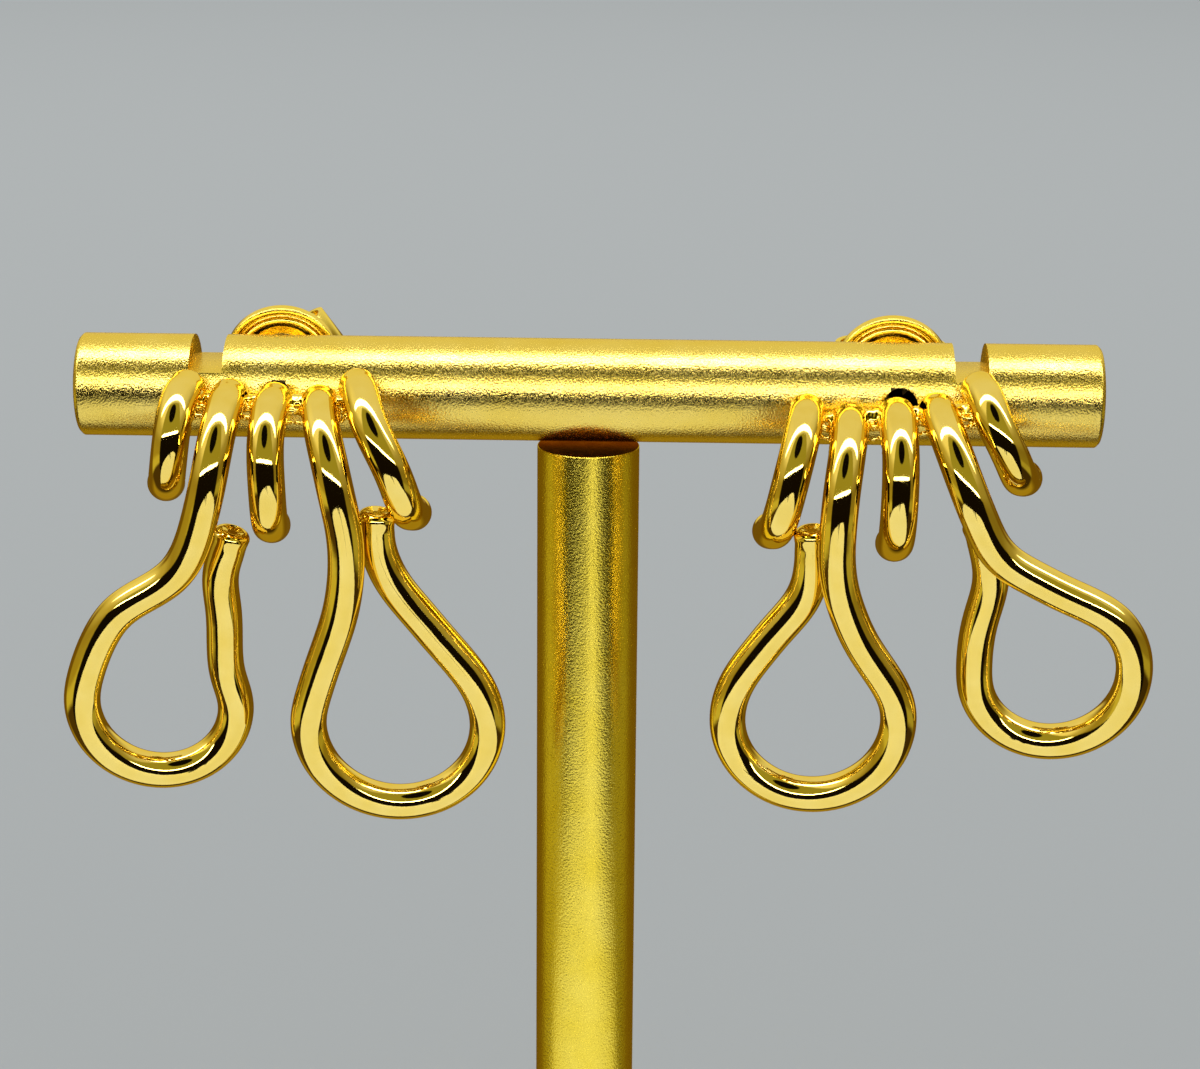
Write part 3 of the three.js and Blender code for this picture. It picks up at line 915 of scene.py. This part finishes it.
# %% [markdown]
# ## Butterfly scrolls
# The clutch's spring is one bent strip: flat on the disc, with both arms curled inward into
# scrolls that press on the post. The outline of one arm is a flat run and then a spiral. The
# strip is drawn as a closed outline, given its width, drilled for the post, and its edges eased.

# %% The strip's outline
SCROLL_CENTRE, SCROLL_RADIUS, SCROLL_END, SCROLL_SWEEP = 1.9, 1.38, 0.55, math.radians(520)
SCROLL_TIGHTENING = 1.15


def arm_outline(steps=110):
    """Outer and inner line of one arm, from the middle of the strip to the curl's end."""
    outer, inner = [], []
    flat_share = SCROLL_CENTRE / (SCROLL_CENTRE + SCROLL_SWEEP * SCROLL_RADIUS * 0.8)
    for i in range(steps + 1):
        t = i / steps
        if t < flat_share:
            along, up, lean = SCROLL_CENTRE * t / flat_share, 0.0, Vector((0, -1))
        else:
            u = (t - flat_share) / (1 - flat_share)
            angle = -math.pi / 2 + SCROLL_SWEEP * u
            radius = SCROLL_RADIUS + (SCROLL_END - SCROLL_RADIUS) * u ** SCROLL_TIGHTENING
            lean = Vector((math.cos(angle), math.sin(angle)))
            along, up = SCROLL_CENTRE + radius * lean.x, SCROLL_RADIUS + radius * lean.y
        middle = Vector((along, up + STRIP_THICK / 2))
        outer.append(middle + lean * STRIP_THICK / 2)
        inner.append(middle - lean * STRIP_THICK / 2)
    return outer, inner


arm = np.array([(a + b) / 2 for a, b in zip(*arm_outline())])
print("strip:", round(2 * course_length(arm), 1), "mm long when flat")


# %% The strip as a mesh
def scroll_mesh(name):
    """The whole strip as rows of four edges across its section, both arms in one piece."""
    one_arm = list(zip(*arm_outline()))
    other_arm = [[Vector((-p.x, p.y)) for p in row] for row in reversed(one_arm[1:])]
    rows = other_arm + one_arm
    built = bmesh.new()
    half_width = STRIP_WIDTH / 2
    loops = []
    for low, high in rows:
        corners = ((low, -half_width), (low, half_width), (high, half_width), (high, -half_width))
        loops.append([built.verts.new((p.x, w, p.y)) for p, w in corners])
    for ring_a, ring_b in zip(loops, loops[1:]):
        for k in range(4):
            built.faces.new((ring_a[k], ring_a[(k + 1) % 4], ring_b[(k + 1) % 4], ring_b[k]))
    built.faces.new(loops[0])
    built.faces.new(list(reversed(loops[-1])))
    bmesh.ops.recalc_face_normals(built, faces=built.faces)
    return finished(built, name)


# %% Drilling and easing the strips
for side, earring in EARRINGS.items():
    scroll = add_object(f"{side}_scroll", scroll_mesh(f"{side}_scroll"))
    drill = add_object("drill", drill_mesh(STRIP_BORE, -2, 6, 40))
    cut_and_eased(scroll, [drill], width=0.06, sharp=40)
    scroll.data.transform(Matrix.Rotation(-math.radians(earring["wing_angle"]), 4, "Z"))
    place_on_post(scroll, earring, past_bar(earring, DISC_SEAT + DISC_THICK + DISC_GAP))
    dress(scroll, pressed, f"{side}_clutch_scroll")

# %% [markdown]
# ## The studio
# A mirror shows its room, so polished metal is lit by what it reflects. The room is a pale tent
# with a light strip overhead, a grey front panel with a bright slit under it, a round dark lens
# in the panel, and a dark opening at the level of the object. It is drawn in the world shader by
# direction, and only the gold sees it: the floor and the camera see a plain grey room. The white
# card below is near, so its reflection shifts along the object, and it is a real sheet. The pale
# lines on the blasted rods come from two more lamps, one for each rod.

# %% The tent as a world
LENS_TILT, LENS_SPREAD = math.radians(53), math.radians(17)


def build_tent():
    """World colours by direction: tilt is 0 overhead, 90 at the front horizon, in degrees."""
    world = bpy.data.worlds.new("tent")
    bpy.context.scene.world = world
    world.use_nodes = True
    tree = world.node_tree
    tree.nodes.clear()
    add, link = tree.nodes.new, tree.links.new

    def calc(operation, *values):
        """One Math node, on numbers or on other nodes' outputs."""
        node = add("ShaderNodeMath")
        node.operation = operation
        for value, slot_in in zip(values, node.inputs):
            if isinstance(value, (int, float)):
                slot_in.default_value = value
            else:
                link(value, slot_in)
        return node.outputs[0]

    def band(value, low, high, soft):
        """1 between low and high, falling to 0 over a soft edge."""
        edges = []
        for way, at in ((1, low), (-1, high)):
            held = add("ShaderNodeClamp")
            ramp = calc("MULTIPLY_ADD", value, way / soft, -way * at / soft + 0.5)
            link(ramp, held.inputs["Value"])
            edges.append(held.outputs[0])
        return calc("MULTIPLY", *edges)

    def over(base, shade, mask):
        """The shade laid over the base where the mask is 1."""
        node = add("ShaderNodeMix")
        node.data_type = "RGBA"
        link(mask, node.inputs[0])
        link(base, node.inputs[6])
        node.inputs[7].default_value = (*shade, 1)
        return node.outputs[2]

    place, split = add("ShaderNodeTexCoord"), add("ShaderNodeSeparateXYZ")
    link(place.outputs["Generated"], split.inputs[0])
    x, y, z = split.outputs
    tilt = calc("MULTIPLY", calc("ARCTAN2", calc("MULTIPLY", y, -1.0), z), 180 / math.pi)
    rise = calc("MULTIPLY", calc("ARCSINE", z), 180 / math.pi)
    side_turn = calc("MULTIPLY", calc("ARCTAN2", x, calc("MULTIPLY", y, -1.0)), 180 / math.pi)

    walls = add("ShaderNodeValToRGB")
    walls.color_ramp.interpolation = "EASE"
    stops = ((0.0, (0.05, 0.03, 0.006)), (0.05, (0.42, 0.38, 0.09)), (0.10, (0.42, 0.38, 0.09)),
             (0.15, (0.27, 0.22, 0.04)), (0.25, (0.24, 0.19, 0.04)), (0.38, (0.38, 0.33, 0.13)),
             (0.55, (0.72, 0.68, 0.50)), (1.0, (0.80, 0.78, 0.70)))
    while len(walls.color_ramp.elements) < len(stops):
        walls.color_ramp.elements.new(0.5)
    for stop, (position, shade) in zip(walls.color_ramp.elements, stops):
        stop.position = position
        stop.color = (*shade, 1)
    link(calc("MULTIPLY_ADD", rise, 1 / 120, 0.25), walls.inputs["Fac"])

    ahead = band(side_turn, -55, 59, 5)
    rear = calc("MULTIPLY", band(y, 0.3, 3.0, 0.16), band(rise, -34, 14, 12))
    under = calc("MULTIPLY", band(y, 0.3, 3.0, 0.16), band(rise, -100, -34, 12))
    behind = calc("MULTIPLY", band(tilt, -88, 2, 8), band(x, -0.72, 0.72, 0.3))
    panel = calc("MULTIPLY", band(tilt, 17, 71, 3), ahead)
    slit = calc("MULTIPLY", band(tilt, 71, 75.5, 0.8), band(side_turn, -48, 48, 6))
    opening = calc("MULTIPLY", band(tilt, 76, 190, 1.5), ahead)
    strip = calc("MULTIPLY", band(tilt, 1, 12, 2), band(x, -0.85, 0.85, 0.1))
    lens_dot = add("ShaderNodeVectorMath")
    lens_dot.operation = "DOT_PRODUCT"
    lens_dot.inputs[1].default_value = (0.0, -math.cos(LENS_TILT), math.sin(LENS_TILT))
    link(place.outputs["Generated"], lens_dot.inputs[0])
    lens = band(lens_dot.outputs["Value"], math.cos(LENS_SPREAD), 2.0, 0.01)

    left_tint, right_tint = band(x, -2.0, -0.25, 0.3), band(x, 0.25, 2.0, 0.3)
    sides = add("ShaderNodeVectorMath")
    sides.operation = "SCALE"
    link(walls.outputs["Color"], sides.inputs[0])
    left_share = calc("MULTIPLY_ADD", left_tint, 0.35, 1.0)
    link(calc("ADD", left_share, calc("MULTIPLY", right_tint, -0.1)), sides.inputs["Scale"])
    colour = sides.outputs[0]
    for shade, mask in (((0.16, 0.10, 0.012), rear), ((0.36, 0.27, 0.04), under),
                        ((0.80, 0.77, 0.66), behind), ((0.33, 0.31, 0.07), panel),
                        ((0.004, 0.003, 0.002), lens), ((0.006, 0.004, 0.002), opening),
                        ((12.0, 12.0, 15.5), slit), ((10.0, 10.0, 13.0), strip)):
        colour = over(colour, shade, mask)

    # Each further bounce between gold and gold loses 15 percent more.
    seen = add("ShaderNodeLightPath")
    tent, room = add("ShaderNodeBackground"), add("ShaderNodeBackground")
    link(colour, tent.inputs["Color"])
    bounces = calc("SUBTRACT", seen.outputs["Glossy Depth"], 1.0)
    link(calc("POWER", 0.85, bounces), tent.inputs["Strength"])
    room.inputs["Color"].default_value = (0.46, 0.475, 0.48, 1)
    mix, out = add("ShaderNodeMixShader"), add("ShaderNodeOutputWorld")
    link(seen.outputs["Is Glossy Ray"], mix.inputs[0])
    link(room.outputs[0], mix.inputs[1])
    link(tent.outputs[0], mix.inputs[2])
    link(mix.outputs[0], out.inputs["Surface"])
    return world


tent = build_tent()
print("tent with", len(tent.node_tree.nodes), "nodes")

# %% The floor
def add_sheet(name, outline, paint):
    """A flat sheet, painted with constants on its shader."""
    mesh = bpy.data.meshes.new(name)
    mesh.from_pydata(outline, [], [tuple(range(len(outline)))])
    material = bpy.data.materials.new(f"{name}_paint")
    material.use_nodes = True
    for socket_name, value in paint.items():
        material.node_tree.nodes["Principled BSDF"].inputs[socket_name].default_value = value
    mesh.materials.append(material)
    return add_object(name, mesh)


FLOOR_REACH = 6.0
corners = ((-1, -1), (1, -1), (1, 1), (-1, 1))
floor = add_sheet(
    "floor", [(x * FLOOR_REACH, y * FLOOR_REACH, 0) for x, y in corners],
    {"Base Color": (0.56, 0.58, 0.58, 1), "Roughness": 0.9, "Specular IOR Level": 0.0})
floor.visible_glossy = False
print("floor reaches", FLOOR_REACH, "m")

# %% [markdown]
# The card is an oval sheet just under the floor, which only the gold sees. Its far tip bends to
# the right, and two wedges are cut into its left edge. The foot stands right on it and would show
# its edge as a hard step, so it is dark to the foot alone.

# %% The white card in front of the stand
CARD_HALF_WIDTH, CARD_HALF_LENGTH, CARD_MIDDLE = 82, 113, 95
CARD_NEAR, CARD_LENGTH, CARD_ROWS, CARD_UNDER = 5, 201, 60, 0.5
CARD_BEND, BEND_START = 0.003, 79
CARD_WEDGES = {58: (8, -115), 55: (-4, -140)}


def card_edge(y, way):
    """The card's right (way 1) or left (way -1) edge, in millimetres."""
    bend = CARD_BEND * max(-y - BEND_START, 0) ** 2
    round_share = math.sqrt(max(1 - ((y + CARD_MIDDLE) / CARD_HALF_LENGTH) ** 2, 0))
    return (bend + way * (CARD_HALF_WIDTH * round_share), y)


def only_for(name, pieces):
    """A collection of the pieces that a light is for."""
    group = bpy.data.collections.new(f"lit_by_{name}")
    for piece in pieces:
        group.objects.link(piece)
    return group


rows = [-CARD_NEAR - CARD_LENGTH * i / CARD_ROWS for i in range(CARD_ROWS + 1)]
left_edge = [card_edge(y, -1) for y in rows]
right_edge = [card_edge(y, 1) for y in reversed(rows)]
for row, wedge_tip in CARD_WEDGES.items():
    left_edge[row] = wedge_tip
card = add_sheet(
    "white_card", [(x * MM, y * MM, -CARD_UNDER * MM) for x, y in right_edge[1:] + left_edge],
    {"Base Color": (0, 0, 0, 1), "Emission Color": (0.84, 0.87, 1.0, 1), "Emission Strength": 1.0})
card.visible_camera = card.visible_diffuse = card.visible_shadow = False
gold_but_foot = [piece for piece in bpy.context.scene.objects
                 if piece.type == "MESH" and piece not in (foot, floor, card)]
card.light_linking.receiver_collection = only_for("card", gold_but_foot)
print("card seen by", len(gold_but_foot), "pieces")

# %% The soft box and the line lamps
lamp_data = bpy.data.lights.new("soft_box", "AREA")
lamp_data.shape, lamp_data.size, lamp_data.size_y = "RECTANGLE", 1.2, 0.9
lamp_data.energy = 5.0
lamp = add_object("soft_box", lamp_data)
lamp.location = (-0.1, 0.5, 1.1)
lamp.rotation_euler = (math.radians(-12), math.radians(-5), 0)
lamp.visible_glossy = False


def add_line_lamp(name, at, aim, size, energy, lit):
    """A lamp that only one piece answers to, for the pale line along it."""
    data = bpy.data.lights.new(name, "AREA")
    data.shape, (data.size, data.size_y), data.energy = "RECTANGLE", size, energy
    made = add_object(name, data)
    made.location = at
    made.rotation_euler = (Vector(aim) - Vector(at)).to_track_quat("-Z", "Y").to_euler()
    made.visible_camera = False
    made.light_linking.receiver_collection = only_for(name, [lit])


add_line_lamp("side_line", at=(0.037, -0.19, 0.02), aim=(0, 0, 0.05), size=(0.05, 0.3),
              energy=0.05, lit=upright)
add_line_lamp("top_line", at=(0.0, -0.26, 0.219), aim=(0, 0, 0.069), size=(0.3, 0.1),
              energy=0.055, lit=crossbar)
bpy.context.scene.view_settings.view_transform = "Standard"
print("soft box and two line lamps ready")
